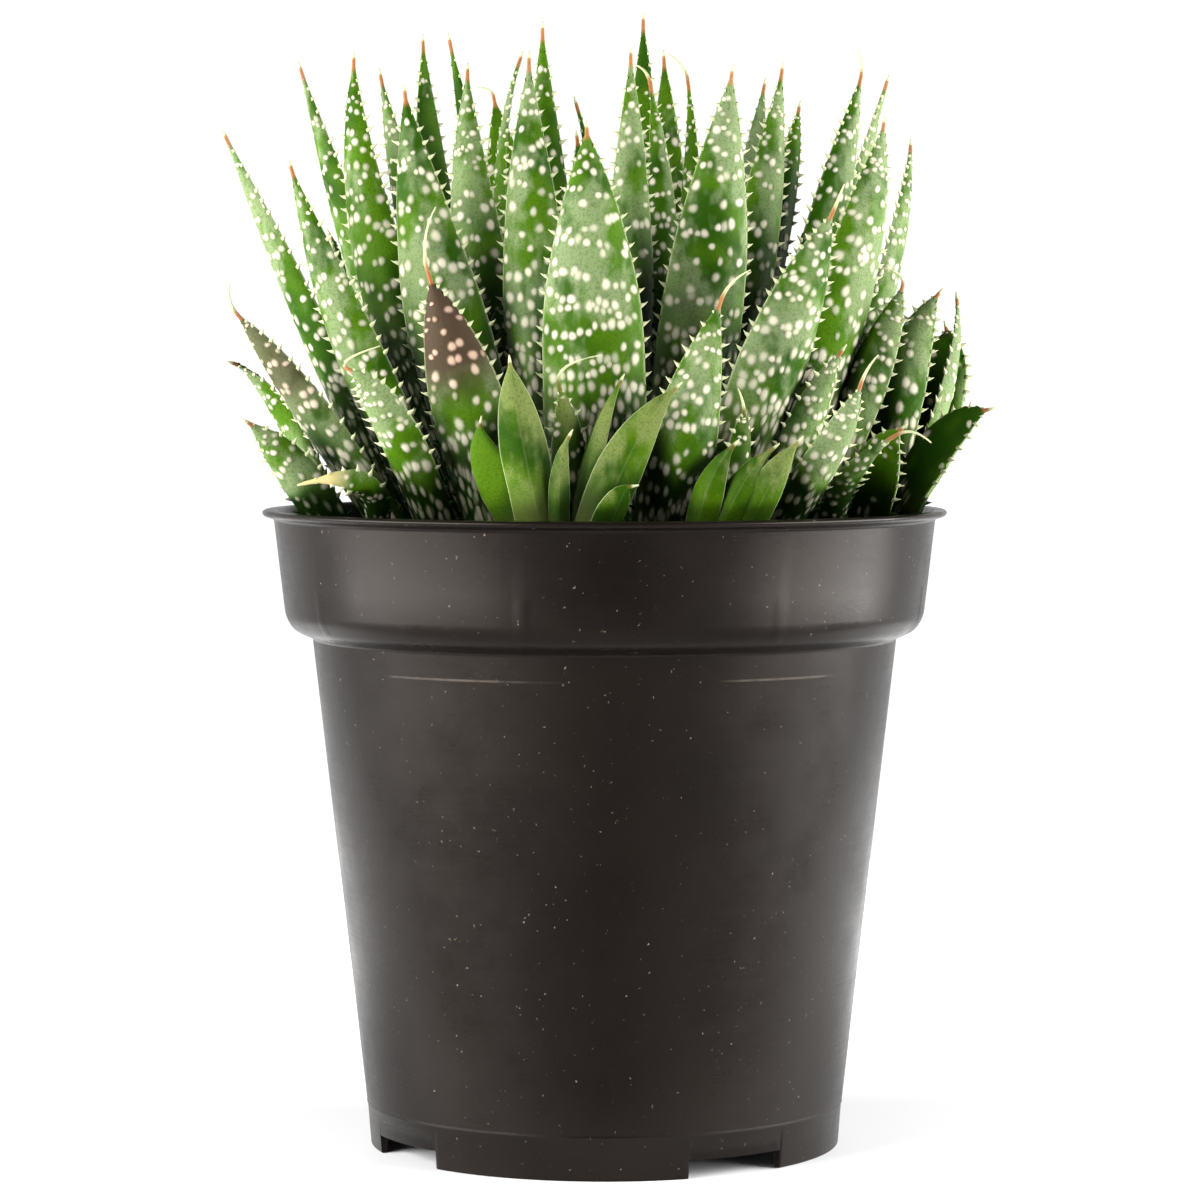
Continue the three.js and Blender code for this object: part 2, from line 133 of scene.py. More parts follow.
# Columns: foot, middle, tip, width, facing of the keeled back in degrees from +X, end of the bristle.
MAIN_LEAVES = [
    # front, from left to right
    ((-25, -21), (-34, -41, 125), (-42, -47, 136), 8.5, -115, (-37, -48, 140)),
    ((-15, -26), (-23, -38, 131), (-29, -41, 151), 13, -100, (-28, -42, 163)),
    ((-1, -25), (-2, -34, 143), (-3, -36, 176), 17.5, -90),
    ((8, -29), (13, -44, 125), (19, -44, 147), 11.5, -85, (24, -45, 152.5)),
    ((22, -26), (36, -42, 121), (42, -46, 133), 7, -65, (45, -47, 138.5)),
    ((16, -18), (29, -28, 139), (38, -34, 162), 13, -65, (40, -35, 167)),
    # left
    ((-30, -13), (-50, -20, 129), (-62, -25, 145), 9, -135, (-63.5, -26, 150.5)),
    ((-24, -11), (-41, -22, 137), (-53, -26, 170), 9.5, -115),
    ((-31, -1), (-50, -6, 142), (-65.5, -8, 176), 9, -145),
    ((-19, -1), (-38, 0, 150), (-44, 4, 190), 11, -115),
    ((-25, 9), (-41, 11, 148), (-54, 15, 189), 9.5, -140),
    ((-17, 8), (-31, 12, 150), (-40, 19, 188), 9, -125),
    ((-14, -15), (-27, -18, 144), (-34, -20, 183), 14.5, -100),
    # middle
    ((-10, 0), (-21, -2, 150), (-24, 3, 188), 10.5, -100),
    ((-6, -13), (-11.5, -15, 148), (-13, -12, 189), 12, -92),
    ((2, -12), (4, -13, 150), (4.5, -9, 190), 9, -88),
    ((11, -12), (17, -20, 149), (21.5, -24, 186), 14.5, -80),
    ((5, -3), (9.8, 1, 150), (8, 4, 186), 7, -85, (5, 5, 189.5)),
    ((-3, 5), (-9, 10, 153), (-11, 14, 196), 9.5, -95),
    ((-8, 11), (-18, 14, 156), (-15, 16, 191), 5, -150),
    ((3, 10), (1, 16, 150), (-5, 18, 183), 4.5, -60),
    ((8, 6), (14.5, 12, 152), (15, 20, 187), 6, -130, (11, 21, 192.5)),
    # right
    ((15, 0), (25, -1, 151), (31, 1, 188), 9.5, -75),
    ((17, 8), (29, 10, 155), (34.5, 13, 182), 7.5, -60),
    ((24, 3), (37, 5, 153), (45, 5, 187), 10, -55, (44.5, 5, 192)),
    ((25, 12), (40, 16, 152), (50.5, 20, 187), 8.5, -20),
    ((26, -8), (41, -10, 148), (48, -12, 178), 12, -60),
    ((32, 1), (48, 4, 146), (54, 8, 175), 8, -30),
    ((31, -7), (45, -9, 133), (51.5, -9, 150), 8, -110, (48, -10, 153.5)),
    # young leaves inside the rosette
    ((-1, -20), (-2.5, -26, 134), (-3, -28, 160), 12, -90),
    ((13, -7), (18, -13, 137), (21, -16, 163), 11, -75),
    ((-14, -8), (-22, -11, 137), (-29, -13, 163), 11, -110),
    ((-2, -5), (-3, -6, 132), (-3.5, -5, 158), 8, -95),
    ((26, -16), (33, -22, 124), (40, -27, 139), 9, -55),
    ((21, -8), (30, -12, 136), (36, -14, 158), 9, -60),
    # back, from left to right
    ((-28, 19), (-41, 27, 138), (-50, 34, 160), 9.5, 145),
    ((-20, 17), (-29, 25, 153), (-33, 33, 195), 10.5, 130),
    ((-22, 26), (-30, 40, 134), (-35, 50, 154), 10, 120),
    ((-12, 18), (-20, 26, 152), (-28, 30, 195), 7, 60),
    ((-12, 28), (-15.5, 42, 148), (-20.5, 51, 186), 15, 105, (-24, 52, 188)),
    ((-4, 19), (-3, 28, 146), (-5, 38, 178), 11, 95),
    ((-1, 31), (-2, 48, 134), (-4, 58, 157), 13, 92),
    ((7, 17), (7, 21, 155), (7, 27, 198.5), 9, 80),
    ((8, 27), (11, 37, 150), (11, 45, 193), 11, 78),
    ((18, 26), (24, 40, 143), (28, 50, 172), 12.5, 60),
    ((17, 17), (24, 24, 153), (29, 31, 187), 10, 45),
    ((27, 20), (38, 31, 146), (43, 40, 170), 10.5, 38),
    ((31, 10), (46, 17, 138), (53, 24, 160), 9, 20),
]
OFFSETS = {
    "offset_front_smooth": {
        "stem": (-6, -44),
        "toothed": False,
        "leaves": [
            ((-4, -45), (3, -49, 121), (11.5, -50, 133), 8, -75),
            ((-5, -44), (-2, -46, 121), (2.5, -46, 134), 6.5, -150),
            ((-3, -46), (1, -52, 113), (4, -54, 117), 6, -60),
            ((-9, -45), (-13.5, -50, 124), (-15.5, -53, 137), 8, -88),
            ((-9, -43), (-18, -46, 118), (-20.5, -48, 127), 8, 60),
            ((-7, -46), (-7.5, -50, 117), (-6, -52, 125), 3.5, -90),
            ((-6, -42), (-6, -44, 122), (-7.5, -47, 133), 6, -80, (-0.5, -49, 138.5)),
        ],
    },
    "offset_front_right": {
        "stem": (18, -42),
        "toothed": False,
        "leaves": [
            ((14.5, -43), (17, -48, 115.5), (21, -50, 123.5), 5.5, -110),
            ((17, -43), (21.5, -48, 115), (27.5, -49, 123), 5.5, -95),
            ((20, -42), (26, -48, 115.5), (31.5, -50, 124), 6, -80),
            ((19, -41), (22, -42, 121), (23, -44, 129), 5, -60, (22, -45, 133)),
        ],
    },
    "offset_right": {
        "stem": (45, -3),
        "toothed": True,
        "leaves": [
            ((46, -2), (52, 1, 133), (58.5, 2, 149), 9, -100),
            ((46, 1), (58, 11, 130), (61, 15, 143), 12, 75),
            ((48, -1), (59.5, 6, 130), (62.5, 10, 148), 6, -20),
            ((47, -5), (56.5, -8, 121), (66, -12, 129), 11, 25),
            ((44, -6), (46, -21, 118), (50, -29, 126), 9, 80),
            ((44, 1), (49, 12, 133), (52.5, 17, 147), 8, 100),
            ((42, -8), (39, -30, 114), (48, -41, 125), 6, -70, (54, -44, 124)),
        ],
    },
    "offset_left": {
        "stem": (-42, -15),
        "toothed": True,
        "leaves": [
            ((-43, -13), (-55, -8, 127), (-64, -12, 137), 6.5, -150),
            ((-43, -16), (-52, -23, 118), (-60, -30, 127), 8, -110),
            ((-41, -18), (-39, -37, 115.5), (-49.5, -42.5, 117.3), 5.5, -110),
            ((-43, -12), (-49, -7, 114), (-57, -3, 118), 7, 170),
        ],
    },
    "offset_back_left": {
        "stem": (-28, 36),
        "toothed": True,
        "leaves": [
            ((-29, 36), (-39, 43, 126), (-45, 50, 140), 8, 135),
            ((-27, 38), (-28, 48, 124), (-31, 58, 134), 8.5, 100),
            ((-30, 35), (-44, 36, 119), (-58, 33, 126.5), 7, 170),
            ((-26, 37), (-21, 47, 122), (-17, 57, 132), 7, 70),
        ],
    },
    "offset_back_right": {
        "stem": (28, 36),
        "toothed": True,
        "leaves": [
            ((29, 36), (37, 43, 127), (42, 49, 141), 8.5, 45),
            ((27, 38), (28, 47, 123), (30, 59, 134), 9, 90),
            ((30, 35), (42, 35, 122), (54, 36, 132), 8, 0),
            ((26, 37), (19, 46, 122), (13, 57, 131), 7, 110),
        ],
    },
}

# Colours of the leaves' details
FOOT_GREEN = (0.24, 0.26, 0.085)
BROWN_SKIN = (0.042, 0.027, 0.017)
TIP_RUST = (0.27, 0.10, 0.04)
PALE_MARGIN = (0.42, 0.44, 0.26)
STRAW = (0.50, 0.40, 0.18)
# Painted shade: the near-black green a leaf is mixed towards where other leaves hem it in
PAINTED_SHADE_GREEN = (0.002, 0.007, 0.0003)
PINK_SPOT = (0.42, 0.29, 0.21)

# Brown leaves, with how brown and from which share of the length, and dry ones with that share
BROWN = {
    "main_leaf_02": (1.0, 0.48),
    "main_leaf_07": (0.7, 0.45),
    "offset_right_2": (0.8, 0.86),
    "offset_right_4": (0.8, 0.95),
}
DRY = {"offset_left_3": 0.74, "offset_back_left_3": 0.8}
# Named values that the corners of every mesh carry for its material
CORNER_VALUES = ("spot", "pale", "tip", "brown", "dry", "along", "shade", "outward")


class Faces:
    """Corners, faces and named values per corner, gathered for one mesh."""

    def __init__(self):
        self.corners = []
        self.faces = []
        self.values = {name: [] for name in CORNER_VALUES}
        self.count = 0

    def add(self, corners, faces, **values):
        corners = np.asarray(corners, float)
        self.corners.append(corners)
        self.faces += [[i + self.count for i in face] for face in faces]
        for name, held in self.values.items():
            value = values.get(name, 0.0)
            held.append(np.broadcast_to(np.asarray(value, float), len(corners)))
        self.count += len(corners)

    def mesh(self, name):
        mesh = bpy.data.meshes.new(name)
        corners = np.concatenate(self.corners) * MM
        mesh.from_pydata([tuple(c) for c in corners.tolist()], [], self.faces)
        mesh.validate()
        for key, held in self.values.items():
            attribute = mesh.attributes.new(key, "FLOAT", "POINT")
            attribute.data.foreach_set("value", np.concatenate(held).astype(np.float32))
        mesh.polygons.foreach_set("use_smooth", [True] * len(mesh.polygons))
        mesh.update()
        return mesh


def half_ball(count):
    """Directions spread over the half ball round +Z, closest together at its top."""
    k = np.arange(count) + 0.5
    lift = np.sqrt(1 - k / count)
    flat = np.sqrt(k / count)
    turn = k * math.pi * (3 - math.sqrt(5))
    return np.stack([flat * np.cos(turn), flat * np.sin(turn), lift], axis=-1)


def tube_faces(rings, around):
    """Faces between closed rings of corners, listed ring after ring."""
    faces = []
    for r in range(rings - 1):
        for a in range(around):
            b = (a + 1) % around
            low, high = r * around, (r + 1) * around
            faces.append([low + a, low + b, high + b, high + a])
    return faces


def unit(v):
    return v / np.maximum(np.linalg.norm(v, axis=-1, keepdims=True), 1e-9)


class Leaf:
    """One leaf's form: points on its surface at s, from foot to tip, and t, from margin to margin."""

    def __init__(self, row, foot_height, keel_power=1.9):
        foot, middle, tip, self.width, facing = row[:5]
        self.start = np.array((*foot, foot_height), float)
        self.end = np.array(tip, float)
        self.control = 2 * np.array(middle, float) - (self.start + self.end) / 2
        angle = math.radians(facing)
        self.back_way = np.array((math.cos(angle), math.sin(angle), 0.0))
        s = np.linspace(0, 1, 60)
        self.length = np.linalg.norm(np.diff(self.centre(s), axis=0), axis=1).sum()
        self.bristle_end = np.array(row[5], float) if len(row) > 5 else None
        self.phase = rng.uniform(0, 6.28, 3)
        self.keel_power = keel_power
        self.way_out = self.back_way

    def centre(self, s):
        s = np.asarray(s)[..., None]
        return (1 - s) ** 2 * self.start + 2 * s * (1 - s) * self.control + s**2 * self.end

    def tangent(self, s):
        s = np.asarray(s)[..., None]
        return unit((1 - s) * (self.control - self.start) + s * (self.end - self.control))

    def sides(self, s):
        tangent = self.tangent(s)
        side = unit(np.cross(tangent, self.back_way))
        return side, np.cross(side, tangent)

    def blade(self, u):
        taper = 1 - (1 - np.clip(u / WIDEST_SHARE, 0, 1)) ** 1.6
        waist = 1 - 0.14 * np.clip((u - WIDEST_SHARE) / (1 - WIDEST_SHARE), 0, 1) ** 2
        return taper * waist

    def half(self, s):
        wave = 1 + 0.012 * np.sin(9 * s + self.phase[0]) + 0.008 * np.sin(23 * s + self.phase[1])
        return np.maximum(self.width / 2 * self.blade(1 - s) * wave, BRISTLE_RADIUS)

    def depth(self, s):
        return np.maximum(KEEL_SHARE * self.width * self.blade(0.9 * (1 - s)), BRISTLE_RADIUS)

    def surface(self, s, t, upper=False):
        s, t = np.broadcast_arrays(np.asarray(s, float), np.asarray(t, float))
        side, keel = self.sides(s)
        depth = self.depth(s)
        if upper:
            rise = 0.16 * depth + 0.25
            out = -rise * np.clip(1 - t**4, 0, 1) ** 0.7
        else:
            out = depth * np.clip(1 - np.abs(t) ** self.keel_power, 0, 1) ** 0.8
        across = self.half(s) * t
        return self.centre(s) + side * across[..., None] + keel * out[..., None]

    def normal(self, s, t, upper=False):
        step = 0.004
        along = self.surface(s + step, t, upper) - self.surface(s - step, t, upper)
        over = self.surface(s, t + step, upper) - self.surface(s, t - step, upper)
        n = unit(np.cross(over, along))
        keel = self.sides(s)[1]
        way = -1.0 if upper else 1.0
        flip = np.sign((n * keel).sum(-1, keepdims=True)) * way
        return n * np.where(flip == 0, 1, flip)

    def outward(self, s, t, upper=False):
        """How far the surface faces away from the middle of its rosette, from -1 to 1."""
        return (self.normal(s, t, upper) * self.way_out).sum(-1)

    def tube(self, rings, steps):
        """Coarse corners and faces of the blade, for measuring light."""
        s = np.linspace(0, LAST_RING, rings)[:, None]
        t = np.cos(np.linspace(0, math.pi, steps + 1))
        back = self.surface(s, -t[None, :])
        upper = self.surface(s, t[None, 1:-1], upper=True)
        return np.concatenate([back, upper], axis=1).reshape(-1, 3), tube_faces(rings, 2 * steps)

    def measure_shade(self, tree):
        """Fill a grid for the back and one for the upper side with how much each point is hemmed in."""
        s = np.linspace(0, 1, LIGHT_ROWS)[:, None]
        t = np.linspace(-0.9, 0.9, LIGHT_COLUMNS)[None, :]
        rays = half_ball(LIGHT_RAYS)
        self.shades = []
        for upper in (False, True):
            normals = self.normal(s, t, upper).reshape(-1, 3)
            points = self.surface(s, t, upper).reshape(-1, 3) + 0.5 * normals
            seen = []
            for point, normal in zip(points, normals):
                first = unit(np.cross(normal, (0.3, 0.5, 0.81)))
                second = np.cross(normal, first)
                total = 0.0
                for way in rays @ np.array([first, second, normal]):
                    distance = tree.ray_cast(Vector(point), Vector(way), LIGHT_REACH)[3]
                    total += 1.0 if distance is None else distance / LIGHT_REACH
                seen.append(total / LIGHT_RAYS)
            self.shades.append(1 - np.array(seen).reshape(LIGHT_ROWS, LIGHT_COLUMNS))

    def shade(self, s, t, upper=False):
        """The measured shade at s and t, blended from the grid's four nearest points."""
        s, t = np.broadcast_arrays(np.asarray(s, float), np.asarray(t, float))
        grid = self.shades[int(upper)]
        row = np.clip(s, 0, 1) * (LIGHT_ROWS - 1)
        column = (np.clip(t, -1, 1) + 1) / 2 * (LIGHT_COLUMNS - 1)
        r = np.minimum(row.astype(int), LIGHT_ROWS - 2)
        c = np.minimum(column.astype(int), LIGHT_COLUMNS - 2)
        a, b = row - r, column - c
        low = (1 - b) * grid[r, c] + b * grid[r, c + 1]
        high = (1 - b) * grid[r + 1, c] + b * grid[r + 1, c + 1]
        return ((1 - a) * low + a * high) * (INNER_SHADE if upper else 1.0)


def add_blade(faces, leaf, look, keel_line=0.0):
    """The blade as one closed tube of rings, with its bristle."""
    rings = max(12, int(leaf.length / RING_PITCH))
    s = LAST_RING * np.linspace(0, 1, rings)
    back_t = -np.cos(np.linspace(0, math.pi, BACK_STEPS + 1))
    upper_t = np.cos(np.linspace(0, math.pi, UPPER_STEPS + 1))[1:-1]
    ring_s = s[:, None]
    back = leaf.surface(ring_s, back_t[None, :])
    upper = leaf.surface(ring_s, upper_t[None, :], upper=True)
    corners = np.concatenate([back, upper], axis=1)
    t = np.concatenate([back_t, upper_t])
    around = len(t)
    edge = np.clip((np.abs(t) - 0.93) / 0.07, 0, 1) * 0.5
    edge[BACK_STEPS // 2] = keel_line
    edge = edge[None, :] * np.ones((rings, 1))
    tip = np.clip((s - 0.955) / 0.03, 0, 1)[:, None] * np.ones((1, around))
    along = s[:, None] * np.ones((1, around))
    shade = np.concatenate([leaf.shade(ring_s, back_t), leaf.shade(ring_s, upper_t, True)], axis=1)
    outward = np.concatenate([leaf.outward(ring_s, back_t), leaf.outward(ring_s, upper_t, True)], axis=1)
    corners = corners.reshape(-1, 3)
    # The bristle leaves the tip straight on and bends to its end.
    onward = leaf.tangent(1.0)
    end = leaf.bristle_end
    if end is None:
        end = leaf.end + onward * BRISTLE_LENGTH
    reach = np.linalg.norm(end - leaf.end)
    steps = 8 if leaf.bristle_end is not None else 3
    q = np.linspace(0.15, 1, steps)[:, None]
    bend = leaf.end + onward * reach * 0.55
    path = (1 - q) ** 2 * leaf.end + 2 * q * (1 - q) * bend + q**2 * end
    way = unit((1 - q) * (bend - leaf.end) + q * (end - bend))
    side0, keel0 = leaf.sides(1.0)
    side = unit(np.cross(way, np.broadcast_to(keel0, way.shape)) * -1)
    side *= np.sign((side * side0).sum(-1, keepdims=True))
    keel = unit(np.cross(side, way))
    keel *= np.sign((keel * keel0).sum(-1, keepdims=True))
    radius = BRISTLE_RADIUS * (1 - 0.72 * q)
    angle = np.concatenate([
        np.linspace(math.pi, 0, BACK_STEPS + 1),
        np.linspace(0, -math.pi, UPPER_STEPS + 1)[1:-1],
    ])
    circle = np.cos(angle)[:, None] * side[:, None, :] + np.sin(angle)[:, None] * keel[:, None, :]
    bristle = path[:, None, :] + circle * radius[:, :, None]
    corners = np.concatenate([corners, bristle.reshape(-1, 3)])
    total = rings + steps
    tube = tube_faces(total, around)
    tube.append(list(range(around))[::-1])
    tube.append([(total - 1) * around + a for a in range(around)])
    pale = np.concatenate([edge.ravel(), np.repeat(np.clip(q[:, 0] * 2, 0, 1), around)])
    tip = np.concatenate([tip.ravel(), np.ones(steps * around)])
    along = np.concatenate([along.ravel(), np.ones(steps * around)])
    shade = np.concatenate([shade.ravel(), np.zeros(steps * around)])
    outward = np.concatenate([outward.ravel(), np.zeros(steps * around)])
    held = {"pale": pale, "tip": tip, "along": along, "shade": shade, "outward": outward}
    faces.add(corners, tube, **held, **look.at(along))


def add_teeth(faces, leaf):
    """White teeth along both margins, bent a little towards the tip."""
    count = max(3, int(leaf.length * (TOOTH["last"] - TOOTH["first"]) / TOOTH["pitch"]))
    around = TOOTH_CORNERS
    angle = np.linspace(0, 2 * math.pi, around, endpoint=False)
    for sign in (-1, 1):
        for k in range(count):
            share = (k + rng.uniform(-0.18, 0.18)) / (count - 1)
            s = min(TOOTH["first"] + share * (TOOTH["last"] - TOOTH["first"]), 0.965)
            half = float(leaf.half(s))
            fade = min(1.0, half / 2.2) * (0.75 + 0.25 * min(1.0, s / 0.3))
            height = TOOTH["height"] * fade * rng.uniform(0.8, 1.15)
            side, keel = leaf.sides(s)
            tangent = leaf.tangent(s)
            root = leaf.surface(s, sign * 1.0)
            out = unit(sign * side + 0.3 * tangent)
            wide = TOOTH["base"] / 2 * (0.6 + 0.4 * fade)
            rings = []
            for share_up, size, lean in TOOTH_RINGS:
                centre = root + out * height * share_up + tangent * height * lean
                ring = centre + np.cos(angle)[:, None] * tangent * wide * size
                rings.append(ring + np.sin(angle)[:, None] * keel * 0.42 * size)
            apex = root + out * height + tangent * height * 0.3
            corners = np.concatenate([*rings, apex[None, :]])
            tooth = tube_faces(len(TOOTH_RINGS), around)
            top = (len(TOOTH_RINGS) - 1) * around
            tooth += [[top + a, top + (a + 1) % around, top + around] for a in range(around)]
            tooth.append(list(range(around))[::-1])
            pale = np.repeat([0.6, 0.95, 1.0], around).tolist() + [1.0]
            faces.add(corners, tooth, pale=pale, along=s, shade=leaf.shade(s, sign))


def lay_spots(faces, leaf, look, marks, upper):
    """Raised spots on the leaf, given as s, t and half sizes, each fading out at its uneven rim."""
    s, t, across, length = np.array(marks).T[..., None]
    count = len(s)
    around = SPOT_CORNERS
    angle = np.linspace(0, 2 * math.pi, around, endpoint=False)
    turn = rng.uniform(0, 2 * math.pi, (2, count, 1))
    uneven = 1 + 0.08 * np.sin(2 * angle + turn[0]) + 0.05 * np.sin(3 * angle + turn[1])
    half = leaf.half(s)
    ring_s = [s + np.cos(angle) * uneven * radius * length / leaf.length for radius, _, _ in SPOT_SHAPE]
    ring_t = [t + np.sin(angle) * uneven * radius * across / half for radius, _, _ in SPOT_SHAPE]
    ring_s = np.concatenate([*ring_s, s], axis=1)
    ring_t = np.concatenate([*ring_t, t], axis=1)
    rise = np.append(np.repeat([r for _, r, _ in SPOT_SHAPE], around), SPOT_RISE)
    bright = np.append(np.repeat([v for _, _, v in SPOT_SHAPE], around), 1.0)
    normal = leaf.normal(ring_s, ring_t, upper)
    corners = leaf.surface(ring_s, ring_t, upper) + normal * rise[:, None]
    top = (len(SPOT_SHAPE) - 1) * around
    spot = tube_faces(len(SPOT_SHAPE), around)
    spot += [[top + a, top + (a + 1) % around, top + around] for a in range(around)]
    spots = [[i + k * len(rise) for i in face] for k in range(count) for face in spot]
    values = look.at(ring_s.ravel())
    fade = 1 - 0.12 * np.clip(1 - s / 0.45, 0, 1)
    values["spot"] = (bright * rng.uniform(0.62, 1.0, (count, 1)) * fade).ravel()
    values["along"] = ring_s.ravel()
    values["shade"] = leaf.shade(ring_s, ring_t, upper).ravel()
    values["outward"] = (normal * leaf.way_out).sum(-1).ravel()
    faces.add(corners.reshape(-1, 3), spots, **values)


def add_spots(faces, leaf, look, density=1.0, upper=False):
    """Cream spots: wavy chains across the leaf, single ones between, long and close near the foot."""
    marks = []
    s_row = 0.05
    while s_row < 0.95:
        low = min(1.0, max(0.0, (SPOT_ROWS["low_from"] - s_row) / SPOT_ROWS["low_over"]))
        half = float(leaf.half(s_row))
        wave = rng.uniform(0, 6.28)
        chain = rng.random() < SPOT_ROWS["chain_share"]
        across_row = 2 * half * SPOT_REACH
        place = rng.uniform(0, 1.2)
        while place < across_row:
            run = int(rng.integers(2, 6)) if low or chain else 1
            for _ in range(run):
                size = rng.uniform(0.62, 1.02) * min(1.0, 0.5 + half / 9) * (1 - 0.36 * low)
                t = (place / across_row * 2 - 1) * SPOT_REACH
                place += size * rng.uniform(1.25, 1.85) + 0.15 * low
                along = 1.1 * math.sin(2.6 * t + wave) + rng.uniform(-0.7, 0.7) * (1 + 0.9 * low)
                s = s_row + along / leaf.length
                length = size * rng.uniform(1.1, 1.6) * (1 + 1.7 * low)
                if abs(t) < 0.92 and 0.02 < s < 0.955 and rng.random() < density:
                    marks.append((s, t, min(size, half * (0.99 - abs(t))), length))
            if low:
                place += rng.uniform(0.1, 0.7)
            elif chain:
                place += rng.uniform(0.6, 2.2)
            else:
                place += rng.uniform(1.6, 3.8)
        pitch = SPOT_ROWS["pitch"] - SPOT_ROWS["closer"] * low
        s_row += pitch * rng.uniform(0.75, 1.25) / leaf.length
    lay_spots(faces, leaf, look, marks, upper)


class Look:
    """How brown or dry a leaf is along its length."""

    def __init__(self, name):
        self.brown, self.brown_from = BROWN.get(name, (0.0, 1.0))
        self.dry_from = DRY.get(name, 1.0)

    def at(self, s):
        brown = self.brown * np.clip((s - self.brown_from) / 0.16, 0, 1)
        return {"brown": brown, "dry": np.clip((s - self.dry_from) / 0.15, 0, 1)}


def root_height(x, y):
    share = min(1.0, math.hypot(x, y) / CROWN["radius"])
    return CROWN["rim"] + (CROWN["top"] - CROWN["rim"]) * (1 - share * share) - 4


def node(tree, kind, **settings):
    made = tree.nodes.new(kind)
    for key, value in settings.items():
        if key in made.inputs:
            made.inputs[key].default_value = value
        else:
            setattr(made, key, value)
    return made


class Shader:
    """A small helper that wires a Principled material."""

    def __init__(self, name):
        self.material = bpy.data.materials.new(name)
        self.material.use_nodes = True
        self.tree = self.material.node_tree
        self.principled = self.tree.nodes["Principled BSDF"]

    def set(self, **values):
        for key, value in values.items():
            self.principled.inputs[key.replace("_", " ")].default_value = value

    def link(self, a, b):
        self.tree.links.new(a, b)

    def attribute(self, name):
        return node(self.tree, "ShaderNodeAttribute", attribute_name=name).outputs["Fac"]

    def noise(self, scale, detail=3.0, roughness=0.6, stretch=(1, 1, 1)):
        where = node(self.tree, "ShaderNodeTexCoord").outputs["Object"]
        mapping = node(self.tree, "ShaderNodeMapping")
        mapping.inputs["Scale"].default_value = stretch
        self.link(where, mapping.inputs["Vector"])
        made = node(self.tree, "ShaderNodeTexNoise", Scale=scale, Detail=detail, Roughness=roughness)
        self.link(mapping.outputs["Vector"], made.inputs["Vector"])
        return made.outputs["Fac"]

    def range(self, value, low, high, out_low=0.0, out_high=1.0):
        made = node(self.tree, "ShaderNodeMapRange", interpolation_type="SMOOTHSTEP")
        made.inputs["From Min"].default_value = low
        made.inputs["From Max"].default_value = high
        made.inputs["To Min"].default_value = out_low
        made.inputs["To Max"].default_value = out_high
        self.link(value, made.inputs["Value"])
        return made.outputs["Result"]

    def math(self, operation, a, b):
        made = node(self.tree, "ShaderNodeMath", operation=operation)
        for value, socket in ((a, made.inputs[0]), (b, made.inputs[1])):
            if isinstance(value, (int, float)):
                socket.default_value = value
            else:
                self.link(value, socket)
        return made.outputs["Value"]

    def mix(self, share, first, second):
        made = node(self.tree, "ShaderNodeMix", data_type="RGBA")
        sockets = [s for s in made.inputs if s.enabled]
        factor, a, b = sockets[0], sockets[-2], sockets[-1]
        for value, socket in ((share, factor), (first, a), (second, b)):
            if isinstance(value, tuple):
                socket.default_value = (*value, 1.0)
            elif isinstance(value, (int, float)):
                socket.default_value = value
            else:
                self.link(value, socket)
        return [s for s in made.outputs if s.enabled][0]

    def bump(self, height, strength, distance):
        made = node(self.tree, "ShaderNodeBump", Strength=strength, Distance=distance)
        self.link(height, made.inputs["Height"])
        self.link(made.outputs["Normal"], self.principled.inputs["Normal"])


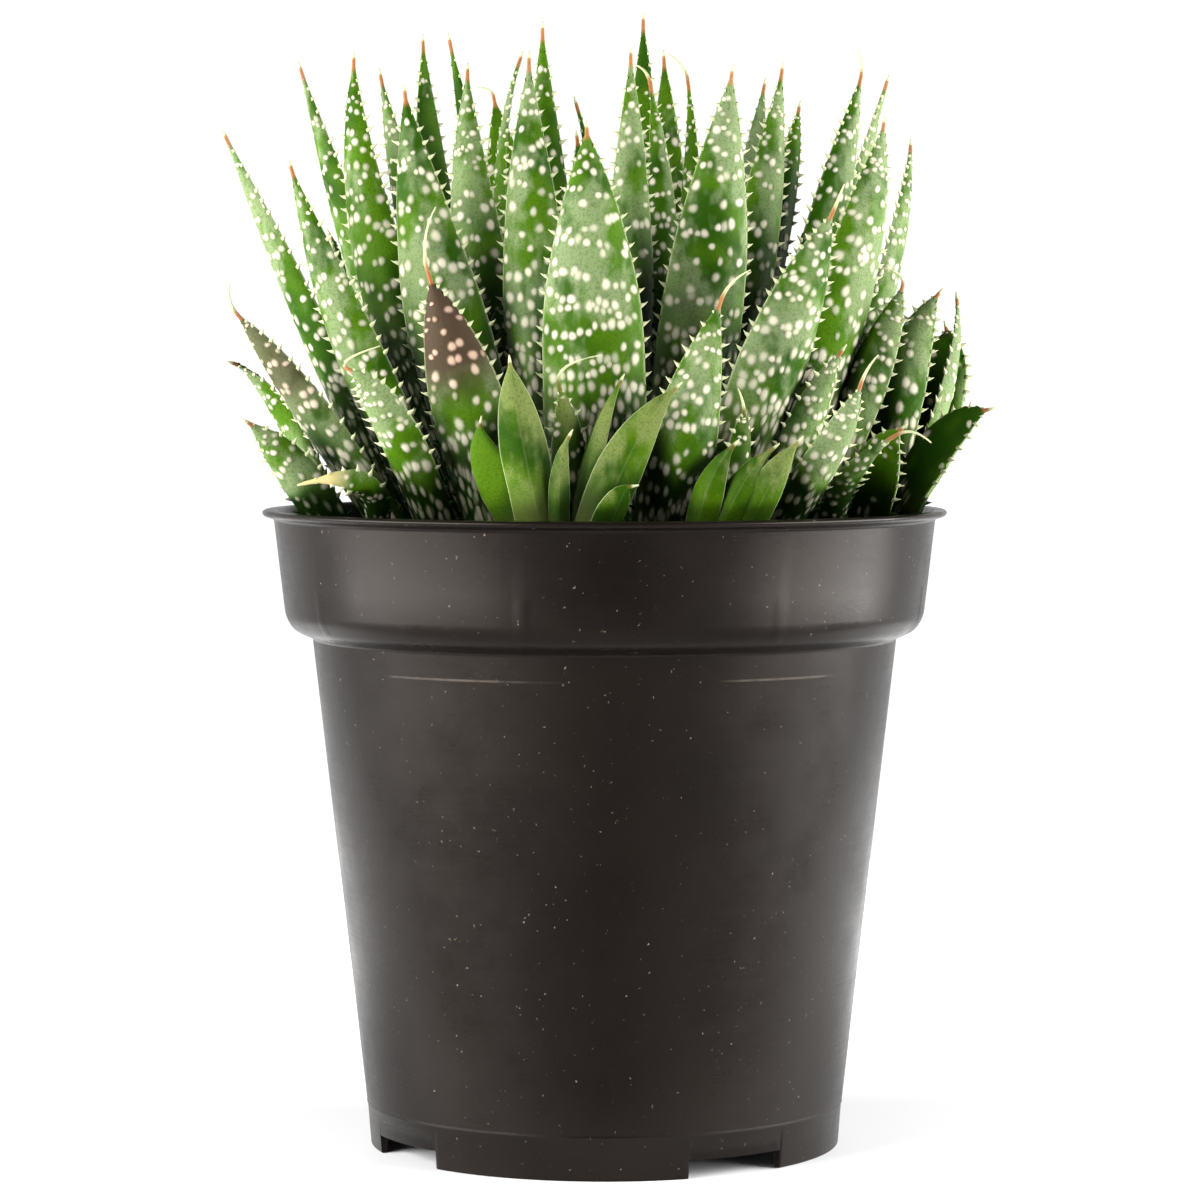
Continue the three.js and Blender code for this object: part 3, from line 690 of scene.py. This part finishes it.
def leaf_material(name, deep, green, painted_sheen, spot_colour, tip_share, painted_shade_share):
    """Leaf skin: clouded greens with a painted grey-green sheen, fine grain, painted shade, and what the
    corners' values say.
    """
    sh = Shader(name)
    cloud = sh.range(sh.noise(85, 2), 0.36, 0.62)
    place = node(sh.tree, "ShaderNodeSeparateXYZ")
    sh.link(node(sh.tree, "ShaderNodeTexCoord").outputs["Object"], place.inputs[0])
    # Painted sheen: its share grows on leaves far to the left and right and on faces turned away from
    # the rosette's middle, where the soft lights and white room reflect, and it fades where the measured
    # shade is deep.
    outer = sh.range(sh.math("ABSOLUTE", place.outputs["X"], 0), 0.015, 0.045, 0, 0.045)
    outer = sh.math("ADD", outer, sh.math("MULTIPLY", sh.attribute("outward"), 0.07))
    clouded = sh.math("ADD", sh.noise(62, 4, 0.7, (1, 1, 0.6)), outer)
    lit = sh.range(sh.attribute("shade"), 0.42, 0.12, 0.08, 0.76)
    patch = sh.math("MULTIPLY", sh.range(clouded, 0.49, 0.61), lit)
    fine = sh.noise(2600, 2)
    colour = sh.mix(cloud, deep, green)
    colour = sh.mix(patch, colour, painted_sheen)
    colour = sh.mix(sh.range(fine, 0.32, 0.55, 0.42, 0), colour, deep)
    along = sh.attribute("along")
    foot = sh.range(along, 0.38, 0.05, 0, 0.62)
    colour = sh.mix(foot, colour, FOOT_GREEN)
    brown = sh.attribute("brown")
    colour = sh.mix(brown, colour, BROWN_SKIN)
    tip = sh.range(sh.attribute("tip"), 0.3, 1.0, 0, tip_share)
    colour = sh.mix(tip, colour, TIP_RUST)
    pale = sh.range(sh.attribute("pale"), 0.15, 0.8, 0, 0.92)
    colour = sh.mix(pale, colour, PALE_MARGIN)
    dry = sh.attribute("dry")
    colour = sh.mix(sh.math("MULTIPLY", dry, 0.85), colour, STRAW)
    spot = sh.math("POWER", sh.range(sh.attribute("spot"), 0.05, 0.95, 0, 0.95), 1.5)
    colour = sh.mix(spot, colour, sh.mix(brown, spot_colour, PINK_SPOT))
    # Painted shade: mixed towards near-black green where the measured shade is deep, less towards the
    # tip and on spots
    dark = sh.range(sh.attribute("shade"), 0.25, 0.5, 0, painted_shade_share)
    dark = sh.math("MULTIPLY", dark, sh.range(along, 0.95, 0.45, 0.45, 1))
    dark = sh.math("MULTIPLY", dark, sh.range(spot, 0, 1, 1, 0.75))
    colour = sh.mix(dark, colour, PAINTED_SHADE_GREEN)
    sh.link(colour, sh.principled.inputs["Base Color"])
    sh.link(sh.range(fine, 0.3, 0.7, 0.42, 0.55), sh.principled.inputs["Roughness"])
    sh.bump(fine, 0.3, 0.0003)
    sh.set(Subsurface_Weight=0.05, Subsurface_Scale=0.002, Specular_IOR_Level=0.05)
    sh.principled.inputs["Specular Tint"].default_value = (0.85, 1.0, 0.6, 1.0)
    sh.principled.inputs["Subsurface Radius"].default_value = (0.5, 1.0, 0.25)
    return sh.material


def pot_material():
    """Black-brown plastic with dust specks, fine turned lines and a painted highlight line below the
    shelf, where the soft lights shine on the front.
    """
    sh = Shader("pot_plastic")
    cloud = sh.range(sh.noise(25, 4), 0.3, 0.7)
    colour = sh.mix(cloud, (0.0034, 0.0023, 0.0018), (0.0056, 0.0040, 0.0031))
    lines = sh.noise(60, 4, 0.7, (1, 1, 40))
    dust = sh.range(sh.noise(1300, 2, 0.5), 0.71, 0.79, 0, 0.4)
    colour = sh.mix(dust, colour, (0.30, 0.25, 0.20))
    place = node(sh.tree, "ShaderNodeSeparateXYZ")
    sh.link(node(sh.tree, "ShaderNodeTexCoord").outputs["Object"], place.inputs[0])
    # Painted highlight: a lighter line at that height, on the front only, in the two stretches where the
    # soft lights reflect, broken up by noise
    off_ring = sh.math("ABSOLUTE", sh.math("SUBTRACT", place.outputs["Z"], PAINTED_GLINT_HEIGHT * MM), 0)
    on_ring = sh.range(off_ring, 0.00025, 0.0001)
    ring = sh.math("MULTIPLY", on_ring, sh.range(place.outputs["Y"], 0.0, -0.02))
    across = place.outputs["X"]
    left = sh.math("MULTIPLY", sh.range(across, -0.038, -0.033), sh.range(across, -0.005, -0.024))
    right = sh.math("MULTIPLY", sh.range(across, 0.018, 0.024), sh.range(across, 0.040, 0.036))
    broken = sh.range(sh.noise(300, 4), 0.35, 0.6, 0.1, 0.3)
    painted_glint = sh.math("MULTIPLY", sh.math("MULTIPLY", ring, sh.math("ADD", left, right)), broken)
    colour = sh.mix(painted_glint, colour, (0.15, 0.125, 0.105))
    sh.link(colour, sh.principled.inputs["Base Color"])
    rough_lines = sh.range(lines, 0.3, 0.7, 0.0, 0.04)
    rough = sh.math("ADD", rough_lines, sh.range(sh.noise(70, 5, 0.7), 0.3, 0.7, 0.25, 0.35))
    sh.link(rough, sh.principled.inputs["Roughness"])
    sh.bump(sh.noise(900, 3), 0.08, 0.0002)
    sh.set(Specular_IOR_Level=0.14)
    sh.principled.inputs["Specular Tint"].default_value = (1.0, 0.9, 0.82, 1.0)
    return sh.material


def soil_material():
    sh = Shader("soil")
    grain = sh.noise(260, 6, 0.7)
    colour = sh.mix(sh.range(grain, 0.35, 0.7), (0.014, 0.009, 0.006), (0.060, 0.037, 0.022))
    colour = sh.mix(sh.range(sh.attribute("pale"), 0.55, 1.0, 0, 0.6), colour, (0.17, 0.10, 0.055))
    fibre = sh.range(sh.noise(120, 3, 0.6, (1, 6, 1)), 0.62, 0.75)
    colour = sh.mix(sh.math("MULTIPLY", fibre, 0.5), colour, (0.14, 0.085, 0.045))
    sh.link(colour, sh.principled.inputs["Base Color"])
    sh.bump(grain, 0.9, 0.0012)
    sh.set(Roughness=0.95)
    return sh.material


def crown_material():
    """The short stem's skin between the leaves: old brown leaf bases with a little green."""
    sh = Shader("crown_skin")
    patches = sh.range(sh.noise(180, 5, 0.7), 0.35, 0.65)
    colour = sh.mix(patches, (0.016, 0.011, 0.005), (0.060, 0.045, 0.018))
    sh.link(colour, sh.principled.inputs["Base Color"])
    sh.bump(sh.noise(420, 4), 0.8, 0.001)
    sh.set(Roughness=0.8, Specular_IOR_Level=0.1)
    return sh.material


def piece(name, mesh, material, node_name):
    made = bpy.data.objects.new(name, mesh)
    made.data.materials.append(material)
    bpy.context.scene.collection.objects.link(made)
    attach(made, "root")
    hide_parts(node_name)
    return made


def lathe(points, segments):
    """A solid turned round +Z from [radius, height] points, of which the two ends are on the axis."""
    points = np.array(points, float)
    angle = np.linspace(0, 2 * math.pi, segments, endpoint=False)
    body = points[1:-1]
    rings = np.stack([
        body[:, :1] * np.cos(angle),
        body[:, :1] * np.sin(angle),
        np.broadcast_to(body[:, 1:], (len(body), segments)),
    ], axis=-1)
    corners = [rings.reshape(-1, 3), [[0, 0, points[0, 1]]], [[0, 0, points[-1, 1]]]]
    faces = tube_faces(len(body), segments)
    low, high = len(body) * segments, len(body) * segments + 1
    last = (len(body) - 1) * segments
    for a in range(segments):
        b = (a + 1) % segments
        faces.append([low, b, a])
        faces.append([high, last + a, last + b])
    return np.concatenate(corners), faces


def rounded(profile, steps=5):
    """Points of a profile whose corners, given as (radius, height, fillet), are rounded."""
    out = []
    for i, (r, z, fillet) in enumerate(profile):
        here = np.array((r, z))
        if fillet <= 0 or i in (0, len(profile) - 1):
            out.append(here)
            continue
        before = np.array(profile[i - 1][:2]) - here
        after = np.array(profile[i + 1][:2]) - here
        reach = min(fillet, 0.49 * np.linalg.norm(before), 0.49 * np.linalg.norm(after))
        a = here + before / np.linalg.norm(before) * reach
        b = here + after / np.linalg.norm(after) * reach
        for q in np.linspace(0, 1, steps):
            out.append((1 - q) ** 2 * a + 2 * q * (1 - q) * here + q**2 * b)
    return out


def band_radius(height):
    """Outer radius of the band at a height."""
    share = (height - BAND_FOOT) / (BAND_TOP - BAND_FOOT)
    return BAND_FOOT_RADIUS + (BAND_TOP_RADIUS - BAND_FOOT_RADIUS) * share


def pot_profile():
    """The pot's outline, from under the floor up the outside, over the lip and down the inside."""
    inner = WALL
    lip_foot = POT_HEIGHT - 1.5
    return rounded([
        (0, FLOOR, 0),
        (FOOT_RADIUS - inner - 3, FLOOR, 1),
        (FOOT_RADIUS - inner, FLOOR - 1.5, 0.8),
        (FOOT_RADIUS - inner + 0.2, 0, 0.3),
        (FOOT_RADIUS, 0, 0.3),
        (FOOT_RADIUS + 0.55, 7.2, 0),
        (FOOT_RADIUS + 0.72, 7.4, 0.1),
        (FOOT_RADIUS + 0.70, 7.9, 0.1),
        (BODY_TOP_RADIUS, SHELF - 0.3, 0.4),
        (BAND_FOOT_RADIUS - 1.4, SHELF + 1.2, 1.0),
        (BAND_FOOT_RADIUS, BAND_FOOT + 0.2, 1.4),
        (band_radius(RIBS["high"] - 0.5), RIBS["high"] - 0.5, 0),
        (band_radius(RIBS["high"] + 0.5), RIBS["high"] + 0.5, 0),
        (BAND_TOP_RADIUS, lip_foot - 0.1, 0.5),
        (LIP_RADIUS - 0.3, lip_foot + 0.5, 0.4),
        (LIP_RADIUS, lip_foot + 1.1, 0.4),
        (LIP_RADIUS - 0.5, POT_HEIGHT, 0.4),
        (BAND_TOP_RADIUS - inner + 0.6, POT_HEIGHT, 0.7),
        (BAND_TOP_RADIUS - inner, lip_foot - 0.6, 0.8),
        (BAND_FOOT_RADIUS - inner, BAND_FOOT, 1.5),
        (BAND_FOOT_RADIUS - inner - 1.2, SHELF + 2, 1),
        (BODY_TOP_RADIUS - inner, SHELF + 1.2, 1),
        (FOOT_RADIUS - inner + 0.6, FLOOR + inner, 1),
        (0, FLOOR + inner, 0),
    ])


def cut(solid_mesh, cutter_corners, cutter_faces):
    """The mesh with the cutter's bodies taken out by one applied boolean."""
    body = bpy.data.objects.new("cut_body", solid_mesh)
    cutter_mesh = bpy.data.meshes.new("cutter")
    corners = (np.array(cutter_corners) * MM).tolist()
    cutter_mesh.from_pydata([tuple(c) for c in corners], [], cutter_faces)
    cutter = bpy.data.objects.new("cutter", cutter_mesh)
    for made in (body, cutter):
        bpy.context.scene.collection.objects.link(made)
    modifier = body.modifiers.new("cut", "BOOLEAN")
    modifier.operation = "DIFFERENCE"
    modifier.solver = "EXACT"
    modifier.object = cutter
    result = bpy.data.meshes.new_from_object(body.evaluated_get(bpy.context.evaluated_depsgraph_get()))
    for made in (body, cutter):
        bpy.data.objects.remove(made)
    return result


def prism(outline, low, high):
    """Corners and faces of an upright prism on a flat outline listed anticlockwise."""
    n = len(outline)
    corners = [(x, y, low) for x, y in outline] + [(x, y, high) for x, y in outline]
    faces = [[i, (i + 1) % n, n + (i + 1) % n, n + i] for i in range(n)]
    faces += [list(range(n))[::-1], list(range(n, 2 * n))]
    return corners, faces


def pot_mesh():
    corners, faces = lathe(pot_profile(), POT_SEGMENTS)
    # Short upright ribs on the lower half of the band
    azimuth = np.degrees(np.arctan2(corners[:, 1], corners[:, 0]))
    radius = np.hypot(corners[:, 0], corners[:, 1])
    outside = radius > (BAND_FOOT_RADIUS - 1.4)
    outside &= (corners[:, 2] > RIBS["low"]) & (corners[:, 2] < RIBS["high"])
    for k in range(RIBS["count"]):
        gap = (azimuth - RIBS["first"] - 360 / RIBS["count"] * k + 180) % 360 - 180
        on_rib = outside & (np.abs(gap) < RIBS["half"])
        corners[on_rib, :2] *= (1 + RIBS["rise"] / radius[on_rib])[:, None]
    gathered = Faces()
    gathered.add(corners, faces)
    cut_corners, cut_faces = [], []

    def add_cutter(outline, low, high):
        made, sides = prism(outline, low, high)
        start = len(cut_corners)
        cut_corners.extend(made)
        cut_faces.extend([[i + start for i in face] for face in sides])

    for k in range(NOTCHES["count"]):
        middle = NOTCHES["first"] + 360 / NOTCHES["count"] * k
        start, end = np.radians([middle - NOTCHES["width"] / 2, middle + NOTCHES["width"] / 2])
        inner, outer = NOTCHES["inner"], NOTCHES["outer"]
        places = ((inner, start), (outer, start), (outer, end), (inner, end))
        outline = [(r * math.cos(a), r * math.sin(a)) for r, a in places]
        add_cutter(outline, -2, NOTCHES["height"])
    for k in range(DRAINS["count"]):
        middle = math.radians(DRAINS["first"] + 360 / DRAINS["count"] * k)
        x, y = DRAINS["ring"] * math.cos(middle), DRAINS["ring"] * math.sin(middle)
        ring = [(x + DRAINS["radius"] * math.cos(a), y + DRAINS["radius"] * math.sin(a))
                for a in np.linspace(0, 2 * math.pi, 24, endpoint=False)]
        add_cutter(ring, FLOOR - 2.2, FLOOR + 3)
    mesh = cut(gathered.mesh("pot_shell"), cut_corners, cut_faces)
    mesh.name = "pot_shell"
    return mesh


def lumpy(x, y, scale, seed):
    return noise.noise(Vector((x * scale, y * scale, seed)))


def soil_mesh():
    """The potting mix with a lumpy top, and loose bits of bark and peat pressed into it."""
    profile = [
        (0, FLOOR + WALL + 0.3),
        (40.0, FLOOR + WALL + 0.3),
        (49.4, SHELF + 1.3),
        (52.4, SHELF + 2.9),
        (54.2, BAND_FOOT + 0.6),
        (SOIL_RADIUS, SOIL - 1.2),
    ]
    profile += [(r, SOIL) for r in np.linspace(SOIL_RADIUS - 0.6, 1.5, SOIL_RINGS)]
    profile.append((0, SOIL))
    corners, faces = lathe(profile, SOIL_SEGMENTS)
    for c in corners:
        if c[2] >= SOIL - 0.01:
            edge = min(1.0, (SOIL_RADIUS - math.hypot(c[0], c[1])) / 4)
            lumps = 1.2 * lumpy(c[0], c[1], 0.11, 3) + 0.7 * lumpy(c[0], c[1], 0.4, 7)
            c[2] += edge * lumps - 0.4 * edge
    gathered = Faces()
    gathered.add(corners, faces)
    cube = np.array([(x, y, z) for x in (-1, 1) for y in (-1, 1) for z in (-1, 1)], float)
    cube_faces = [[0, 1, 3, 2], [4, 6, 7, 5], [0, 4, 5, 1], [2, 3, 7, 6], [0, 2, 6, 4], [1, 5, 7, 3]]
    for _ in range(SOIL_BITS):
        radius = BITS_RADIUS * math.sqrt(rng.random())
        turn = rng.uniform(0, 2 * math.pi)
        coarse = 0.25 + 0.75 * rng.random() ** 2.2
        size = coarse * np.array([rng.uniform(0.8, 2.2), 1.0, rng.uniform(0.4, 0.8)])
        spin = rng.uniform(0, 2 * math.pi)
        lean = rng.uniform(-0.5, 0.5)
        bit = cube * size * rng.uniform(0.7, 1.1, cube.shape)
        across, up = math.cos(lean), math.sin(lean)
        bit = bit @ np.array([[across, 0, up], [0, 1, 0], [-up, 0, across]])
        across, along = math.cos(spin), math.sin(spin)
        bit = bit @ np.array([[across, along, 0], [-along, across, 0], [0, 0, 1]])
        x, y = radius * math.cos(turn), radius * math.sin(turn)
        level = SOIL + 1.2 * lumpy(x, y, 0.11, 3) + 0.7 * lumpy(x, y, 0.4, 7)
        gathered.add(bit + (x, y, level), cube_faces, pale=rng.random())
    return gathered.mesh("soil_mix")


def crown_mesh():
    profile = rounded([
        (0, CROWN["root"], 0),
        (15, CROWN["root"], 3),
        (30, SOIL - 4, 4),
        (CROWN["radius"], CROWN["rim"], 3),
        (27, CROWN["rim"] + 3, 5),
        (14, CROWN["top"] - 1, 6),
        (0, CROWN["top"], 0),
    ], 7)
    corners, faces = lathe(profile, 96)
    gathered = Faces()
    gathered.add(corners, faces)
    return gathered.mesh("crown_stem")


spotted = leaf_material(
    "leaf_spotted",
    deep=(0.013, 0.048, 0.001),
    green=(0.047, 0.112, 0.003),
    painted_sheen=(0.176, 0.222, 0.108),
    spot_colour=(0.52, 0.484, 0.368),
    tip_share=0.85,
    painted_shade_share=1.0,
)
smooth = leaf_material(
    "leaf_smooth",
    deep=(0.012, 0.042, 0.001),
    green=(0.045, 0.100, 0.002),
    painted_sheen=(0.135, 0.162, 0.048),
    spot_colour=(0.52, 0.484, 0.368),
    tip_share=0.2,
    painted_shade_share=0.62,
)


def grow_leaves():
    """Every leaf by its node and number, with the shade that the others and the pot throw on it."""
    leaves = {}
    for i, row in enumerate(MAIN_LEAVES):
        leaf = Leaf(row, root_height(*row[0]) + 1)
        leaf.way_out = unit(np.array((row[1][0], row[1][1], 0.0)))
        leaves[f"main_leaf_{i + 1:02d}"] = leaf
    for name, offset in OFFSETS.items():
        for i, row in enumerate(offset["leaves"]):
            plain = not offset["toothed"] and len(row) < 6
            leaves[f"{name}_{i + 1}"] = Leaf(row, SOIL + 3, 1.3 if plain else 1.9)
    blockers = Faces()
    for leaf in leaves.values():
        blockers.add(*leaf.tube(16, 6))
    blockers.add(*lathe(pot_profile(), 48))
    blockers.add(*lathe([(0, 0), (SOIL_RADIUS, SOIL - 1), (SOIL_RADIUS, SOIL), (0, SOIL)], 24))
    tree = BVHTree.FromPolygons(np.concatenate(blockers.corners).tolist(), blockers.faces)
    for leaf in leaves.values():
        leaf.measure_shade(tree)
    return leaves


def build_leaves(leaves):
    for i in range(len(MAIN_LEAVES)):
        name = f"main_leaf_{i + 1:02d}"
        leaf, look, faces = leaves[name], Look(name), Faces()
        add_blade(faces, leaf, look)
        add_teeth(faces, leaf)
        add_spots(faces, leaf, look)
        add_spots(faces, leaf, look, 0.25, upper=True)
        piece(f"leaf_{i + 1:02d}", faces.mesh(f"leaf_{i + 1:02d}"), spotted, name)


def stem_corners(stem):
    """Corners and faces of a plantlet's short stem, with its middle at stem."""
    profile = [
        (0, STEM["root"]),
        (3, STEM["root"]),
        (STEM["radius"], SOIL),
        (3.5, STEM["tip"] - 3),
        (0, STEM["tip"]),
    ]
    corners, faces = lathe(profile, 20)
    return corners + (stem[0], stem[1], 0), faces


def build_offsets(leaves):
    for name, offset in OFFSETS.items():
        faces = Faces()
        faces.add(*stem_corners(offset["stem"]))
        toothed = offset["toothed"]
        for i, row in enumerate(offset["leaves"]):
            plain = not toothed and len(row) < 6
            leaf, look = leaves[f"{name}_{i + 1}"], Look(f"{name}_{i + 1}")
            add_blade(faces, leaf, look, 0.26 if plain else 0.0)
            if not plain:
                add_teeth(faces, leaf)
                add_spots(faces, leaf, look, 0.8)
                add_spots(faces, leaf, look, 0.35, upper=True)
        material, slot = (spotted, "leaf") if toothed else (smooth, "smooth_leaf")
        piece(name.replace("offset", "plantlet"), faces.mesh(name), material, name)


def build_stage():
    """A white disc under the pot, in a white room whose front is dark."""
    bpy.ops.mesh.primitive_circle_add(
        vertices=96,
        radius=FLOOR_DISC["radius"],
        fill_type="NGON",
        location=(0, FLOOR_DISC["back"], 0),
    )
    floor = bpy.context.object
    floor.name = "floor"
    sh = Shader("floor_white")
    sh.set(Roughness=0.6)
    away = node(sh.tree, "ShaderNodeVectorMath", operation="LENGTH")
    sh.link(node(sh.tree, "ShaderNodeNewGeometry").outputs["Position"], away.inputs[0])
    near, far = FLOOR_DISC["glow_from"], FLOOR_DISC["glow_to"]
    glow = sh.range(away.outputs["Value"], near, far, 0.0, ROOM["light"])
    sh.principled.inputs["Emission Color"].default_value = (1, 1, 1, 1)
    sh.link(glow, sh.principled.inputs["Emission Strength"])
    sh.principled.inputs["Base Color"].default_value = (FLOOR_WHITE, FLOOR_WHITE, FLOOR_WHITE, 1)
    floor.data.materials.append(sh.material)
    world = bpy.data.worlds.new("studio")
    bpy.context.scene.world = world
    world.use_nodes = True
    tree = world.node_tree
    background = tree.nodes["Background"]
    where = tree.nodes.new("ShaderNodeTexCoord")
    towards = node(tree, "ShaderNodeVectorMath", operation="DOT_PRODUCT")
    turn = math.radians(ROOM["turn"])
    towards.inputs[1].default_value = (math.sin(turn), -math.cos(turn), 0)
    tree.links.new(where.outputs["Generated"], towards.inputs[0])
    fade = node(tree, "ShaderNodeMapRange", interpolation_type="SMOOTHSTEP")
    fade.inputs["From Min"].default_value = math.cos(math.radians(ROOM["outer"]))
    fade.inputs["From Max"].default_value = math.cos(math.radians(ROOM["inner"]))
    fade.inputs["To Min"].default_value = ROOM["light"]
    fade.inputs["To Max"].default_value = ROOM["dark"]
    tree.links.new(towards.outputs["Value"], fade.inputs["Value"])
    up = node(tree, "ShaderNodeSeparateXYZ")
    tree.links.new(where.outputs["Generated"], up.inputs[0])
    ceiling = node(tree, "ShaderNodeMapRange", interpolation_type="SMOOTHSTEP")
    ceiling.inputs["From Min"].default_value = ROOM["wall_top"]
    ceiling.inputs["From Max"].default_value = ROOM["high"]
    ceiling.inputs["To Min"].default_value = 1.0
    ceiling.inputs["To Max"].default_value = ROOM["ceiling"]
    tree.links.new(up.outputs["Z"], ceiling.inputs["Value"])
    both = node(tree, "ShaderNodeMath", operation="MULTIPLY")
    tree.links.new(fade.outputs["Result"], both.inputs[0])
    tree.links.new(ceiling.outputs["Result"], both.inputs[1])
    tree.links.new(both.outputs["Value"], background.inputs["Strength"])
    background.inputs["Color"].default_value = (1, 1, 1, 1)
    bpy.context.scene.view_settings.view_transform = "Standard"


def add_softbox(name, azimuth, width, low, high, radiance):
    """An upright soft light that is turned to the pot and that the camera doesn't see."""
    data = bpy.data.lights.new(name, "AREA")
    data.shape = "RECTANGLE"
    data.size, data.size_y = width, high - low
    data.energy = radiance * math.pi * width * (high - low)
    light = bpy.data.objects.new(name, data)
    turn = math.radians(azimuth)
    away = Vector((math.sin(turn), -math.cos(turn), 0))
    light.location = away * SOFTBOX_DISTANCE + Vector((0, 0, (low + high) / 2))
    light.rotation_euler = (-away).to_track_quat("-Z", "Y").to_euler()
    light.visible_camera = False
    bpy.context.scene.collection.objects.link(light)


def build_camera():
    data = bpy.data.cameras.new("camera")
    data.lens = CAMERA_LENS
    data.sensor_width = 36
    camera = bpy.data.objects.new("camera", data)
    camera.location = [v * MM for v in CAMERA_AT]
    camera.rotation_euler = (math.radians(90 - CAMERA_PITCH), 0, 0)
    bpy.context.scene.collection.objects.link(camera)
    bpy.context.scene.camera = camera


build_camera()
build_stage()
for name, placing in SOFTBOXES.items():
    add_softbox(name, *placing)
leaves = grow_leaves()
build_leaves(leaves)
build_offsets(leaves)
piece("pot_shell", pot_mesh(), pot_material(), "pot")
piece("soil_mix", soil_mesh(), soil_material(), "soil")
piece("crown_stem", crown_mesh(), crown_material(), "crown")
